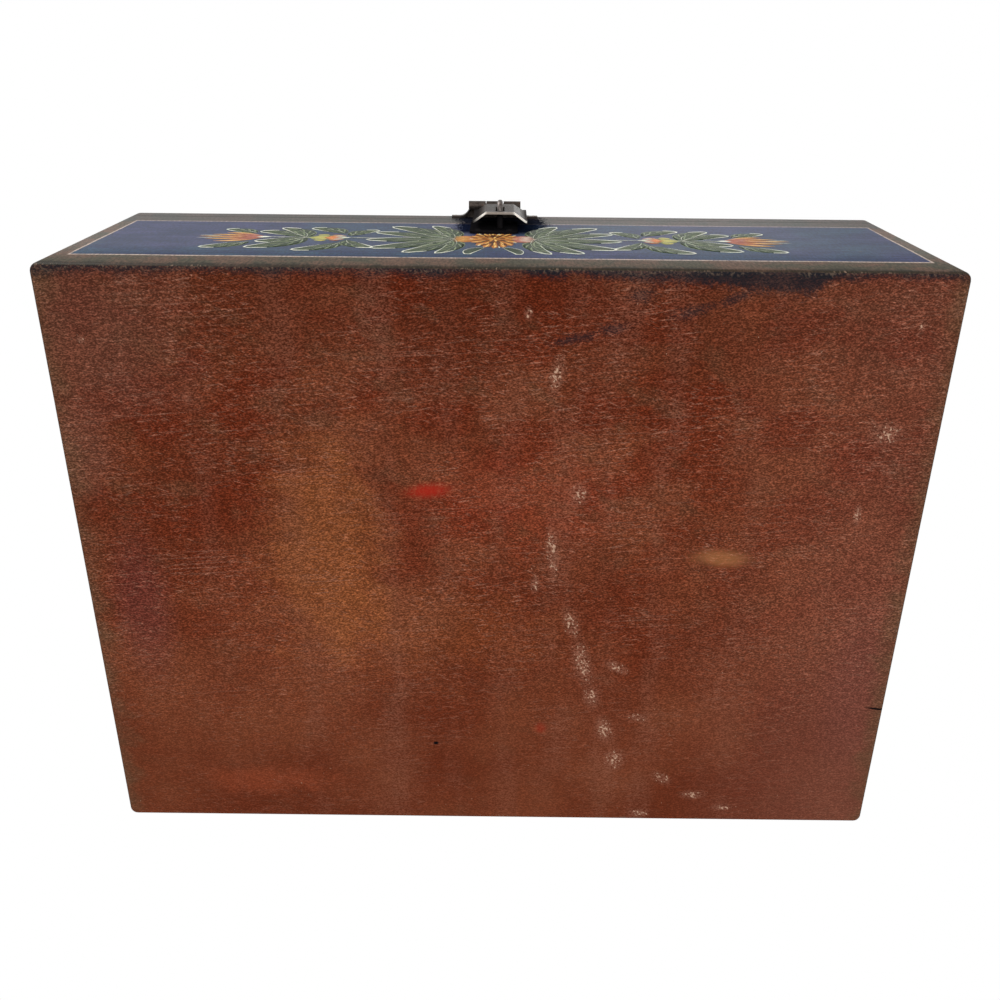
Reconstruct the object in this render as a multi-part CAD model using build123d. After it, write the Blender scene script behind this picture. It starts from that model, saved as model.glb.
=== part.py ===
from build123d import *
import os

# Painted wooden box with a board lid on two butt hinges and a pressed hasp at the front.
# Millimetres. The origin is the middle of the underside: +X right, -Y front, +Z up.

# Wooden case
WIDTH = 305.0
DEPTH = 229.0
HEIGHT = 104.0
WALL = 8.0
BOTTOM = 8.0
LID = 9.7
SEAM_GAP = 0.3
CORNER_RADIUS = 3.0
BOTTOM_ROUND = 2.0
LID_ROUND = 2.4

# Square cut brads that pin the corners
BRAD_SIDE = 1.4
BRAD_LENGTH = 22.0
BRADS_PER_CORNER = 3
BRAD_END_MARGIN = 14.0

# Clearances
DRIVEN_GAP = 0.02
PIN_GAP = 0.05
FACE_GAP = 0.3
KNUCKLE_GAP = 0.25

# Butt hinges at the back
HINGE_LENGTH = 32.0
HINGE_LEAF = 9.0
HINGE_SHEET = 0.9
HINGE_BARREL_RADIUS = 2.0
HINGE_PIN_RADIUS = 1.0
HINGE_KNUCKLES = 5
HINGE_INSET = 48.0
HINGE_CORNER = 1.2
HINGE_TACK_MARGIN = 6.0

# Hasp: plate on the lid, leaf and pin
HASP_X = -2.8
HASP_SHEET = 0.8
HASP_BARREL_RADIUS = 1.9
HASP_PIN_RADIUS = 1.0
HASP_KNUCKLES = 3
HASP_LEAF_OFFSET = 2.3
HASP_WIDTH = 20.8
HASP_STANDOFF = 3.4
HASP_PLATE_WIDTH = 35.0
HASP_PLATE_TOP_MARGIN = 2.0
HASP_SWEEP_RADIUS = 4.0
HASP_LEAF_LENGTH = 29.5
HASP_RISE = 3.2
HASP_WING = 0.5
HASP_CREST_WIDTH = 10.8
HASP_CREST_START = 6.4
HASP_CREST_SLOPE = 2.6
HASP_LEAF_CORNER = 1.2
SLOT_WIDTH = 3.4
SLOT_END_GAP = 0.7

# Staple and its plate
STAPLE_WIRE_RADIUS = 1.15
STAPLE_HEIGHT = 9.0
STAPLE_REACH = 10.8
STAPLE_BITE = 6.5
STAPLE_BELOW_PIN = 21.3
STAPLE_PLATE_WIDTH = 18.2
STAPLE_PLATE_HEIGHT = 24.0
STAPLE_PLATE_SHEET = 0.9
STAPLE_PLATE_CORNER = 2.4
PLATE_TACK_MARGIN = 3.2

# Cut tacks of all the fittings: a hammered head of flat facets on a square tapered shank.
# Those of the hasp's plate are hammered flat.
TACK_HEAD_RADIUS = 1.3
TACK_CROWN_RADIUS = 0.7
TACK_HEAD_HEIGHT = 0.45
TACK_FACETS = 8
TACK_SHANK = 1.0
TACK_TIP = 0.3
TACK_LENGTH = 6.5
FLAT_HEAD_HEIGHT = 0.2

# Worked out from the sizes above
WALL_TOP = HEIGHT - LID - SEAM_GAP
SEAM_Z = WALL_TOP + SEAM_GAP / 2
WALL_HEIGHT = WALL_TOP - BOTTOM
SIDE_LENGTH = DEPTH - 2 * WALL
SIDE_X = WIDTH / 2 - WALL / 2
HINGE_X = WIDTH / 2 - HINGE_INSET
HINGE_AXIS = HINGE_BARREL_RADIUS + FACE_GAP
HASP_AXIS = HASP_STANDOFF + HASP_BARREL_RADIUS
HALF_DIAGONAL = 0.5**0.5

FRONT = Pos(HASP_X, -DEPTH / 2, SEAM_Z)
BACK_HINGES = {
    "left": Pos(-HINGE_X, DEPTH / 2, SEAM_Z) * Rot(0, 0, 180),
    "right": Pos(HINGE_X, DEPTH / 2, SEAM_Z) * Rot(0, 0, 180),
}


# Simple shapes. In a fitting's own frame X runs along its pin, -Y points out of the wood and Z is up.
def block(x, y, z):
    """A box between two limits on each axis."""
    size = (x[1] - x[0], y[1] - y[0], z[1] - z[0])
    middle = ((x[0] + x[1]) / 2, (y[0] + y[1]) / 2, (z[0] + z[1]) / 2)
    return Pos(*middle) * Box(*size)


def rod_x(radius, start, end, y, z):
    """A round bar along X."""
    return Pos((start + end) / 2, y, z) * Rot(0, 90, 0) * Cylinder(radius, end - start)


def rod_into_wood(radius, start, end, z):
    """A round bar along Y, from depth start to depth end (out of the wood is negative)."""
    return Pos(0, (start + end) / 2, z) * Rot(90, 0, 0) * Cylinder(radius, end - start)


# Wooden case
def case_board(low, high):
    """A board that covers the whole plan of the box, with rounded corners."""
    board = block((-WIDTH / 2, WIDTH / 2), (-DEPTH / 2, DEPTH / 2), (low, high))
    return fillet(board.edges().filter_by(Axis.Z), CORNER_RADIUS)


def bottom_board():
    board = case_board(0, BOTTOM)
    return fillet(board.faces().sort_by(Axis.Z)[0].edges(), BOTTOM_ROUND)


def long_wall(side):
    """The front wall (side -1) or back wall (side 1), which covers the ends of the end walls."""
    inner = DEPTH / 2 - WALL
    depth_limits = sorted((side * inner, side * DEPTH / 2))
    wall = block((-WIDTH / 2, WIDTH / 2), depth_limits, (BOTTOM, WALL_TOP))
    upright_edges = wall.edges().filter_by(Axis.Z).group_by(Axis.Y)
    wall = fillet(upright_edges[0 if side < 0 else -1], CORNER_RADIUS)
    return wall - brads(DRIVEN_GAP)


def end_wall(side):
    """The left wall (side -1) or right wall (side 1), between the long walls."""
    width_limits = sorted((side * (WIDTH / 2 - WALL), side * WIDTH / 2))
    wall = block(width_limits, (-SIDE_LENGTH / 2, SIDE_LENGTH / 2), (BOTTOM, WALL_TOP))
    return wall - brads(DRIVEN_GAP)


def brads(gap=0.0):
    """The corner brads, or with a gap the holes that take them."""
    low = BOTTOM + BRAD_END_MARGIN
    step = (WALL_HEIGHT - 2 * BRAD_END_MARGIN) / (BRADS_PER_CORNER - 1)
    half = BRAD_SIDE / 2 + gap
    brad = block((-half, half), (0, BRAD_LENGTH + gap), (-half, half))
    solids = []
    for turn in (0, 180):
        for x in (-SIDE_X, SIDE_X):
            for row in range(BRADS_PER_CORNER):
                solids.append(Rot(0, 0, turn) * Pos(x, -DEPTH / 2, low + row * step) * brad)
    return Compound(children=solids)


def lid_board():
    board = case_board(HEIGHT - LID, HEIGHT)
    return fillet(board.faces().sort_by(Axis.Z)[-1].edges(), LID_ROUND)


def group(places, solid):
    return Compound(children=[place * solid for place in places])


# A tack on its own axis, with the wood's face at y = 0
def tack_shank(start, gap=0.0):
    """The square shank from depth start to its tip, or with a gap the hole that takes it."""
    square = TACK_SHANK + 2 * gap
    tip = TACK_TIP + 2 * gap
    wide = Plane(origin=(0, start, 0), z_dir=(0, 1, 0)) * Rectangle(square, square)
    narrow = Plane(origin=(0, TACK_LENGTH + gap, 0), z_dir=(0, 1, 0)) * Rectangle(tip, tip)
    return loft([wide, narrow])


def tack(sheet, head_height=TACK_HEAD_HEIGHT):
    """A tack whose head sits on a sheet."""
    seat = Plane(origin=(0, -sheet, 0), z_dir=(0, -1, 0))
    rim = seat * RegularPolygon(TACK_HEAD_RADIUS, TACK_FACETS)
    crown = seat.offset(head_height) * RegularPolygon(TACK_CROWN_RADIUS, TACK_FACETS)
    return loft([rim, crown]) + tack_shank(-sheet)


# Knuckles shared by the butt hinges and the hasp
def knuckle_spans(length, count, first):
    """The stretches of a barrel that belong to one leaf: every other knuckle from first."""
    pitch = length / count
    spans = []
    for index in range(first, count, 2):
        start = -length / 2 + index * pitch
        low = start + (KNUCKLE_GAP / 2 if index > 0 else 0)
        high = start + pitch - (KNUCKLE_GAP / 2 if index < count - 1 else 0)
        spans.append((low, high))
    return spans


def rolled_edge(spans, radius, bore, axis, sheet_back, sheet, up):
    """Knuckles about the pin with the arms that join them to a sheet above (up 1) or below (up -1)."""
    edge = None
    for start, end in spans:
        arm_limits = sorted((0, up * (radius + FACE_GAP)))
        knuckle = rod_x(radius, start, end, -axis, 0)
        arm = block((start, end), (-sheet_back - sheet, -sheet_back), arm_limits)
        piece = knuckle + arm - rod_x(bore, start, end, -axis, 0)
        edge = piece if edge is None else edge + piece
    return edge


def hinge_tack_places(up):
    z = up * (HINGE_BARREL_RADIUS + FACE_GAP + HINGE_LEAF) / 2
    x = HINGE_LENGTH / 2 - HINGE_TACK_MARGIN
    return [Pos(-x, 0, z), Pos(x, 0, z)]


def hinge_leaf(up):
    """One leaf of a butt hinge in the hinge's own frame: the lid's (up 1) or the wall's (up -1)."""
    near = HINGE_BARREL_RADIUS + FACE_GAP
    sheet_limits = sorted((up * near, up * HINGE_LEAF))
    sheet = block((-HINGE_LENGTH / 2, HINGE_LENGTH / 2), (-HINGE_SHEET, 0), sheet_limits)
    short_edges = sheet.edges().filter_by(Axis.Y).group_by(Axis.Z)
    sheet = fillet(short_edges[-1 if up > 0 else 0], HINGE_CORNER)
    spans = knuckle_spans(HINGE_LENGTH, HINGE_KNUCKLES, 0 if up < 0 else 1)
    bore = HINGE_PIN_RADIUS + PIN_GAP
    leaf = sheet + rolled_edge(spans, HINGE_BARREL_RADIUS, bore, HINGE_AXIS, 0, HINGE_SHEET, up)
    for place in hinge_tack_places(up):
        leaf -= place * tack_shank(-HINGE_SHEET, DRIVEN_GAP)
    return leaf


def hinge_pin():
    half = HINGE_LENGTH / 2
    return rod_x(HINGE_PIN_RADIUS, -half, half, -HINGE_AXIS, 0)


def hinge_tacks(up, solid):
    """The tacks of the lid's leaves (up 1) or the wall's (up -1) on both hinges, or their holes."""
    places = [frame * place for frame in BACK_HINGES.values() for place in hinge_tack_places(up)]
    return group(places, solid)


# Hasp
def hasp_plate_limits():
    """How low and how high the lid plate reaches."""
    low = HASP_BARREL_RADIUS + FACE_GAP
    high = SEAM_GAP / 2 + LID - LID_ROUND - HASP_PLATE_TOP_MARGIN
    return low, high


def hasp_tack_places():
    """The plate's two tacks, in its ears on the lid's front edge."""
    x = HASP_PLATE_WIDTH / 2 - PLATE_TACK_MARGIN / 2
    z = sum(hasp_plate_limits()) / 2
    return [Pos(-x, 0, z), Pos(x, 0, z)]


def bridge_profile(closed):
    """The lid plate's section: flat ears on the wood, swept up to a bridge, which may be closed to the wood."""
    sheet = HASP_SHEET
    bridge = HASP_STANDOFF + sheet
    ear = HASP_PLATE_WIDTH / 2
    crown = HASP_WIDTH / 2
    radius = HASP_SWEEP_RADIUS
    rise = bridge - sheet - radius
    sweep_x = crown + (radius**2 - rise**2) ** 0.5
    inner_radius = radius + sheet
    inner_x = sweep_x - (inner_radius**2 - (sheet + radius - HASP_STANDOFF) ** 2) ** 0.5
    outer_mid = (sweep_x - radius * HALF_DIAGONAL, sheet + radius * (1 - HALF_DIAGONAL))
    inner_mid = (sweep_x - inner_radius * HALF_DIAGONAL, sheet + radius - inner_radius * HALF_DIAGONAL)
    outer = (
        Line((0, bridge), (crown, bridge))
        + ThreePointArc((crown, bridge), outer_mid, (sweep_x, sheet))
        + Line((sweep_x, sheet), (ear, sheet))
        + Line((ear, sheet), (ear, 0))
    )
    if closed:
        inner = Line((ear, 0), (0, 0)) + Line((0, 0), (0, bridge))
    else:
        inner = (
            Line((ear, 0), (sweep_x, 0))
            + ThreePointArc((sweep_x, 0), inner_mid, (inner_x, HASP_STANDOFF))
            + Line((inner_x, HASP_STANDOFF), (0, HASP_STANDOFF))
            + Line((0, HASP_STANDOFF), (0, bridge))
        )
    face = make_face(outer + inner)
    return Rot(0, 0, 180) * (face + mirror(face, Plane.YZ))


def hasp_lid_plate():
    """The pressed plate on the lid's front edge: a hood closed at its top, with the outer knuckles."""
    low, high = hasp_plate_limits()
    hood = Pos(0, 0, low) * extrude(bridge_profile(False), high - low, dir=(0, 0, 1))
    hood_top = Pos(0, 0, high - HASP_SHEET) * extrude(bridge_profile(True), HASP_SHEET, dir=(0, 0, 1))
    spans = knuckle_spans(HASP_WIDTH, HASP_KNUCKLES, 0)
    bore = HASP_PIN_RADIUS + PIN_GAP
    knuckles = rolled_edge(spans, HASP_BARREL_RADIUS, bore, HASP_AXIS, HASP_STANDOFF, HASP_SHEET, 1)
    plate = hood + hood_top + knuckles
    for place in hasp_tack_places():
        plate -= place * tack_shank(-HASP_SHEET, DRIVEN_GAP)
    return plate


def crest_face(standoff, width, high, low):
    """A flat rectangle facing out of the wood, at a distance from it."""
    plane = Plane(origin=(0, -standoff, (high + low) / 2), x_dir=(1, 0, 0), z_dir=(0, -1, 0))
    return plane * Rectangle(width, high - low)


def crest(standoff):
    """The raised middle of the leaf as a solid with sloping sides that runs out past the leaf's end."""
    end = -2 * HASP_LEAF_LENGTH
    foot = crest_face(standoff, HASP_WIDTH - 2 * HASP_WING, -HASP_CREST_START, end)
    top = crest_face(standoff + HASP_RISE, HASP_CREST_WIDTH, -HASP_CREST_START - HASP_CREST_SLOPE, end)
    return loft([foot, top])


def hasp_leaf():
    """The pressed leaf: a raised middle with the slot for the staple, to one side of the knuckle on the pin."""
    near = HASP_BARREL_RADIUS + FACE_GAP
    half = HASP_WIDTH / 2
    back = HASP_STANDOFF
    sheet = block((-half, half), (-back - HASP_SHEET, -back), (-HASP_LEAF_LENGTH, -near))
    low_corners = sheet.edges().filter_by(Axis.Y).sort_by(Axis.Z)[:2]
    sheet = fillet(low_corners, HASP_LEAF_CORNER)
    leaf = sheet + crest(back + HASP_SHEET) - crest(back)
    leaf &= block((-half, half), (-DEPTH, 0), (-HASP_LEAF_LENGTH, -near))
    leaf = Pos(HASP_LEAF_OFFSET, 0, 0) * (leaf - staple_slot())
    spans = knuckle_spans(HASP_WIDTH, HASP_KNUCKLES, 1)
    bore = HASP_PIN_RADIUS + PIN_GAP
    return leaf + rolled_edge(spans, HASP_BARREL_RADIUS, bore, HASP_AXIS, back, HASP_SHEET, -1)


def staple_slot():
    """The slot that swings over the staple: its lower end clears the staple's tip on the leaf's arc."""
    top = STAPLE_BELOW_PIN - STAPLE_HEIGHT / 2 - SLOT_END_GAP
    tip_radius = ((STAPLE_BELOW_PIN + STAPLE_HEIGHT / 2) ** 2 + (STAPLE_REACH - HASP_AXIS) ** 2) ** 0.5
    low = tip_radius + SLOT_END_GAP / 2
    half = SLOT_WIDTH / 2
    return block((-half, half), (-DEPTH, 0), (-low, -top))


def hasp_pin():
    half = HASP_WIDTH / 2
    return rod_x(HASP_PIN_RADIUS, -half, half, -HASP_AXIS, 0)


# Staple
def staple_wire(radius):
    """A U of round wire that stands out of the wall, its two legs driven into the wood."""
    bend = STAPLE_HEIGHT / 2 - STAPLE_WIRE_RADIUS
    straight = -(STAPLE_REACH - STAPLE_WIRE_RADIUS - bend)
    top_leg = Line((0, STAPLE_BITE, bend), (0, straight, bend))
    turn = ThreePointArc((0, straight, bend), (0, straight - bend, 0), (0, straight, -bend))
    low_leg = Line((0, straight, -bend), (0, STAPLE_BITE, -bend))
    path = Wire([top_leg, turn, low_leg])
    section = Plane(origin=(0, STAPLE_BITE, bend), z_dir=(0, -1, 0)) * Circle(radius)
    return sweep(section, path)


def staple():
    return Pos(HASP_LEAF_OFFSET, 0, -STAPLE_BELOW_PIN) * staple_wire(STAPLE_WIRE_RADIUS)


def staple_legs(gap):
    """The two holes that take the staple's legs."""
    bend = STAPLE_HEIGHT / 2 - STAPLE_WIRE_RADIUS
    radius = STAPLE_WIRE_RADIUS + gap
    high = rod_into_wood(radius, -STAPLE_PLATE_SHEET, STAPLE_BITE, bend - STAPLE_BELOW_PIN)
    low = rod_into_wood(radius, -STAPLE_PLATE_SHEET, STAPLE_BITE, -bend - STAPLE_BELOW_PIN)
    return Pos(HASP_LEAF_OFFSET, 0, 0) * (high + low)


def staple_tack_places():
    x = STAPLE_PLATE_WIDTH / 2 - PLATE_TACK_MARGIN
    z = STAPLE_PLATE_HEIGHT / 2 - PLATE_TACK_MARGIN
    return [Pos(i * x, 0, j * z - STAPLE_BELOW_PIN) for i in (-1, 1) for j in (-1, 1)]


def staple_plate():
    half_x = STAPLE_PLATE_WIDTH / 2
    half_z = STAPLE_PLATE_HEIGHT / 2
    plate = block((-half_x, half_x), (-STAPLE_PLATE_SHEET, 0), (-half_z, half_z))
    plate = fillet(plate.edges().filter_by(Axis.Y), STAPLE_PLATE_CORNER)
    plate = Pos(0, 0, -STAPLE_BELOW_PIN) * plate - staple_legs(DRIVEN_GAP)
    for place in staple_tack_places():
        plate -= place * tack_shank(-STAPLE_PLATE_SHEET, DRIVEN_GAP)
    return plate


# Wood with the holes of what is driven into it
def drilled_front_wall():
    wall = long_wall(-1) - FRONT * staple_legs(DRIVEN_GAP)
    return wall - FRONT * group(staple_tack_places(), tack_shank(0, DRIVEN_GAP))


def drilled_back_wall():
    return long_wall(1) - hinge_tacks(-1, tack_shank(0, DRIVEN_GAP))


def drilled_lid():
    lid = lid_board() - hinge_tacks(1, tack_shank(0, DRIVEN_GAP))
    return lid - FRONT * group(hasp_tack_places(), tack_shank(0, DRIVEN_GAP))


def nodes():
    parts = {
        "bottom_board": bottom_board(),
        "front_wall": drilled_front_wall(),
        "back_wall": drilled_back_wall(),
        "left_wall": end_wall(-1),
        "right_wall": end_wall(1),
        "corner_brads": brads(),
        "lid_board": drilled_lid(),
        "hinge_base_tacks": hinge_tacks(-1, tack(HINGE_SHEET)),
        "hinge_lid_tacks": hinge_tacks(1, tack(HINGE_SHEET)),
        "hasp_lid_plate": FRONT * hasp_lid_plate(),
        "hasp_plate_tacks": FRONT * group(hasp_tack_places(), tack(HASP_SHEET, FLAT_HEAD_HEIGHT)),
        "hasp_leaf": FRONT * hasp_leaf(),
        "hasp_pin": FRONT * hasp_pin(),
        "staple": FRONT * staple(),
        "staple_plate": FRONT * staple_plate(),
        "staple_plate_tacks": FRONT * group(staple_tack_places(), tack(STAPLE_PLATE_SHEET)),
    }
    for name, frame in BACK_HINGES.items():
        parts[f"{name}_hinge_base_leaf"] = frame * hinge_leaf(-1)
        parts[f"{name}_hinge_lid_leaf"] = frame * hinge_leaf(1)
        parts[f"{name}_hinge_pin"] = frame * hinge_pin()
    return parts


os.makedirs("parts", exist_ok=True)
for node, shape in nodes().items():
    export_step(shape, f"parts/{node}.step")
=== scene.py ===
import math
import random

import bpy
from mathutils import Matrix, Vector


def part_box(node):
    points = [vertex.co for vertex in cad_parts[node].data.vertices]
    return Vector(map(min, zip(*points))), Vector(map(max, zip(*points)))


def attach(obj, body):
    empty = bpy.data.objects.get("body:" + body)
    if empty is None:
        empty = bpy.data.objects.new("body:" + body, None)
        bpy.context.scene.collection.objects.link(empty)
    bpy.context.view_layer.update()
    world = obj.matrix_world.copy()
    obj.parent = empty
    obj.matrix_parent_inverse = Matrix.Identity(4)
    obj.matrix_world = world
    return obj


# Painted wooden box with a board lid and a pressed hasp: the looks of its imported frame.
# Metres in Blender, millimetres in the materials and in the painted design.
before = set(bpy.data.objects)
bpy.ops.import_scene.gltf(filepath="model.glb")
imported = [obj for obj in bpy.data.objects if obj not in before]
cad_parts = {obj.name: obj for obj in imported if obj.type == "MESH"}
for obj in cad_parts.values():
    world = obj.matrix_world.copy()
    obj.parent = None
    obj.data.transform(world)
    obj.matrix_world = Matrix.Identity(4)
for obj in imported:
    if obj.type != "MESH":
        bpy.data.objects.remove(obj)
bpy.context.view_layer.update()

MM = 0.001

# Camera: below the front edge, looking up at the underside
CAMERA_PLACE = Vector((0.00144, -0.1817, -0.32206))
CAMERA_FORWARD = Vector((-0.002, 0.4208, 0.9072))
CAMERA_RIGHT = Vector((1.0, -0.0089, 0.0063))
CAMERA_LENS = 35.9
SENSOR = 36.0
NEAREST_SEEN = 0.01

# Light: level of the world for soft surfaces, and area lamps as (name, place, aim, size, watts)
WORLD_LEVEL = 0.62
LAMPS = (
    ("window", (-0.9, -1.3, 0.55), (0.0, -0.1, 0.05), 0.7, 17.0),
    ("low_fill", (0.25, -0.75, -1.3), (0.0, 0.0, 0.0), 1.0, 11.0),
    ("ceiling", (0.3, 0.2, 1.6), (0.0, 0.0, 0.1), 1.0, 14.0),
)

# Floor: half its side, how far it lies below the box, and the radii between which it fades to white
FLOOR_HALF = 6.0
FLOOR_DROP = 0.0006
FLOOR_FADE = (0.3, 1.1)
WHITE = (1.0, 1.0, 1.0, 1.0)

# How rough every noise is, and a half size so large that the distance out of a mark's face doesn't count
NOISE_ROUGHNESS = 0.6
ANY_DEPTH = 1e6


def srgb(red, green, blue):
    """A colour given as it looks on a screen, 0 to 255, in linear light."""
    shares = [c / 255 for c in (red, green, blue)]
    linear = [((c + 0.055) / 1.055) ** 2.4 if c > 0.04 else c / 12.92 for c in shares]
    return (*linear, 1.0)


# Nodes
class Wire:
    """An output socket of a node tree. Arithmetic adds Math nodes, and add() makes any other node."""

    def __init__(self, tree, socket=None):
        self.tree = tree
        self.socket = socket

    def add(self, kind, settings=None, inputs=None, output=0):
        node = self.tree.nodes.new(kind)
        for name, value in (settings or {}).items():
            setattr(node, name, value)
        for key, value in (inputs or {}).items():
            if isinstance(value, Wire):
                self.tree.links.new(value.socket, node.inputs[key])
            else:
                node.inputs[key].default_value = value
        return Wire(self.tree, node.outputs[output] if len(node.outputs) else None)

    def math(self, operation, *values):
        return self.add("ShaderNodeMath", {"operation": operation}, dict(enumerate(values)))

    def __add__(self, other):
        return self.math("ADD", self, other)

    def __radd__(self, other):
        return self.math("ADD", other, self)

    def __sub__(self, other):
        return self.math("SUBTRACT", self, other)

    def __rsub__(self, other):
        return self.math("SUBTRACT", other, self)

    def __mul__(self, other):
        return self.math("MULTIPLY", self, other)

    def __rmul__(self, other):
        return self.math("MULTIPLY", other, self)

    def __abs__(self):
        return self.math("ABSOLUTE", self)

    def least(self, other):
        return self.math("MINIMUM", self, other)

    def most(self, other):
        return self.math("MAXIMUM", self, other)

    def rise(self, low, high, to_low=0.0, to_high=1.0):
        """A smooth step from to_low at low to to_high at high."""
        settings = {"interpolation_type": "SMOOTHSTEP"}
        return self.add("ShaderNodeMapRange", settings, {0: self, 1: low, 2: high, 3: to_low, 4: to_high})

    def fall(self, low, high):
        return self.rise(low, high, 1.0, 0.0)

    def mix(self, first, second):
        """The first colour where this is 0 and the second where it is 1."""
        return self.add("ShaderNodeMix", {"data_type": "RGBA"}, {0: self, 6: first, 7: second}, 2)

    def scaled(self, amount):
        """This vector or colour times a value."""
        return self.add("ShaderNodeVectorMath", {"operation": "SCALE"}, {0: self, 3: amount})

    def curve(self, points):
        """A smooth curve through (value, result) points, whose values rise and whose results are 0 to 1."""
        low, high = points[0][0], points[-1][0]
        found = self.add("ShaderNodeFloatCurve", None, {"Value": (self - low) * (1 / (high - low))})
        mapping = found.socket.node.mapping
        line = mapping.curves[0]
        while len(line.points) < len(points):
            line.points.new(0.5, 0.5)
        for point, (value, result) in zip(line.points, points):
            point.location = ((value - low) / (high - low), result)
        mapping.update()
        return found

    def measured(self, origin, sizes, turn=0.0):
        """This place measured from an origin, in shares of sizes, along axes turned by degrees about Z."""
        if turn:
            axes = {1: origin, 2: (0, 0, math.radians(turn)), 3: sizes}
            return self.add("ShaderNodeMapping", {"vector_type": "TEXTURE"}, {0: self, **axes})
        shares = tuple(1 / size for size in sizes)
        start = tuple(-place * share for place, share in zip(origin, shares))
        settings = {"operation": "MULTIPLY_ADD"}
        return self.add("ShaderNodeVectorMath", settings, {0: self, 1: shares, 2: start})

    def within(self, x, y, half_x, half_y, turn=0.0):
        """How far this place is from an ellipse's middle on a flat face, as a share of its half sizes."""
        local = self.measured((x, y, 0), (half_x, half_y, ANY_DEPTH), turn)
        return local.add("ShaderNodeVectorMath", {"operation": "LENGTH"}, {0: local}, 1)

    def noise(self, length, width=None, turn=0.0, detail=2.0, shift=0.0):
        """Noise whose blotches are length by width millimetres, the length turned from X about Z."""
        width = width or length
        local = self.measured((shift * length, shift * width, shift), (length, width, width), turn)
        inputs = {"Vector": local, "Scale": 1.0, "Detail": detail, "Roughness": NOISE_ROUGHNESS}
        return local.add("ShaderNodeTexNoise", None, inputs)


def new_material(name):
    """A material with an empty tree: the tree's start, and a place in millimetres on the box."""
    material = bpy.data.materials.new(name)
    material.use_nodes = True
    material.node_tree.nodes.clear()
    start = Wire(material.node_tree)
    place = start.add("ShaderNodeTexCoord", output="Object").scaled(1 / MM)
    return material, start, place


def finish_surface(start, colour, roughness, height, relief, more):
    """The surface shader: its colour, roughness, height, relief in millimetres and more of its inputs."""
    bump = {"Strength": 1.0, "Distance": relief * MM, "Height": height}
    normal = start.add("ShaderNodeBump", None, bump, "Normal")
    inputs = {"Base Color": colour, "Roughness": roughness, "Normal": normal, **more}
    surface = start.add("ShaderNodeBsdfPrincipled", None, inputs)
    start.add("ShaderNodeOutputMaterial", None, {"Surface": surface})


# Box sizes in millimetres, from the frame
LOW = tuple(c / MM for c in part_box("bottom_board")[0])
HIGH = tuple(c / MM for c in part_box("lid_board")[1])
WALL_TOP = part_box("front_wall")[1][2] / MM
LID_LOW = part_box("lid_board")[0][2] / MM
FLOOR_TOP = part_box("bottom_board")[1][2] / MM
WALL = (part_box("left_wall")[1][0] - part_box("left_wall")[0][0]) / MM
SEAM = (WALL_TOP + LID_LOW) / 2
HASP_X = (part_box("hasp_pin")[0][0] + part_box("hasp_pin")[1][0]) / 2 / MM
LEAF_X = (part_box("hasp_leaf")[0][0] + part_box("hasp_leaf")[1][0]) / 2 / MM
LEAF_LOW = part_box("hasp_leaf")[0][2] / MM
CREST_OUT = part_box("hasp_leaf")[0][1] / MM

# How softly one face gives way to the next and the front half to the back half, how far within a board the
# finish of the inside fades out, and how near the seam and how far from the outside the bare rims lie
FACE_BLEND = 0.15
HALF_BLEND = 1
INSIDE_FADE = (0.05, 0.4)
RIM_FADE = (0.2, 0.5)

# Painted panels: the margins outside the pale line on each face, as (left, low, right, high), and how far
# inside a panel a place counts where the face has none
FRONT_MARGINS = (7.7, 15.5, 7.3, 21.0)
END_MARGINS = (7.5, 15.5, 7.5, 21.0)
LID_MARGINS = (7.5, 7.5, 7.5, 7.5)
OUTSIDE_PANEL = -10.0

# The pale line: its width, the share of it that upright lines have, how soft its edges and the field's are,
# how far it wanders, and how much of it is lost in the upper band
LINE = 1.3
UPRIGHT_LINE_SHARE = 0.6
LINE_SOFT = 0.3
FIELD_SOFT = 0.25
LINE_WANDER = 1.6
LINE_LOST = 0.45

# Heights between which the margin turns greyer, and between which dull varnish turns glossy
UPPER_BAND = (78, 84)
GLOSSY_BAND = (0, 40)

# Wear of the walls and lid: where it fades, from an edge, from the ground and from the seam
WORN_EDGE = (3.4, 4.6)
BARE_EDGE = (2.4, 3.4)
GRIMY_FOOT = (7.5, 11.5)
GRIMY_SEAM = (0.1, 1.1)

# Painted shadow that the hasp casts on the front wall: its middle to the right of the hasp, its radius and
# its heights
SHADE_RIGHT = 2.5
SHADE_RADIUS = 16
SHADE_HEIGHTS = (58, 67)

# Painted shade on the fittings, black where they lie close to the wood behind the hasp's crest: where it
# grows on plates and on wire, and where it ends up the lid
PLATE_SHADE = (1.0, 5.5)
WIRE_SHADE = (0.2, 1.2)
SHADE_TOP = (1, 3)

# The leaf's finish: where its left flank turns black with painted shadow; where the painted highlight along
# its lower edge ends, across from its middle, up from its lowest point and in from its crest; and where its
# flanks start on either side
SHADED_FLANK = (-9.0, -5.0)
HIGHLIGHT_ACROSS = (-10.5, -6.5)
HIGHLIGHT_UP = (0.9, 1.4)
HIGHLIGHT_IN = (4.2, 5.0)
FLANKS = (4.5, 6.0)

# Tints and wear of the underside: where they fade along y
REDDER_FRONT = (-70, 60)
DARKER_FRONT = (-118, -55)
LIGHTER_BACK = (-60, 40)
DUSTY_BACK = (-60, 60)
FAINTER_GRAIN = (0, 100)

# Where they fade along x, in from the ends, in from the front edge and in from any edge
DUSTY_RIGHT = (60, 150)
WORN_ENDS = (9, 21)
BLUE_SMEAR = (5.0, 9.5)
FRONT_GRIME = (5.0, 10.0)
DUSTY_EDGE = (3.0, 4.6)

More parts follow.
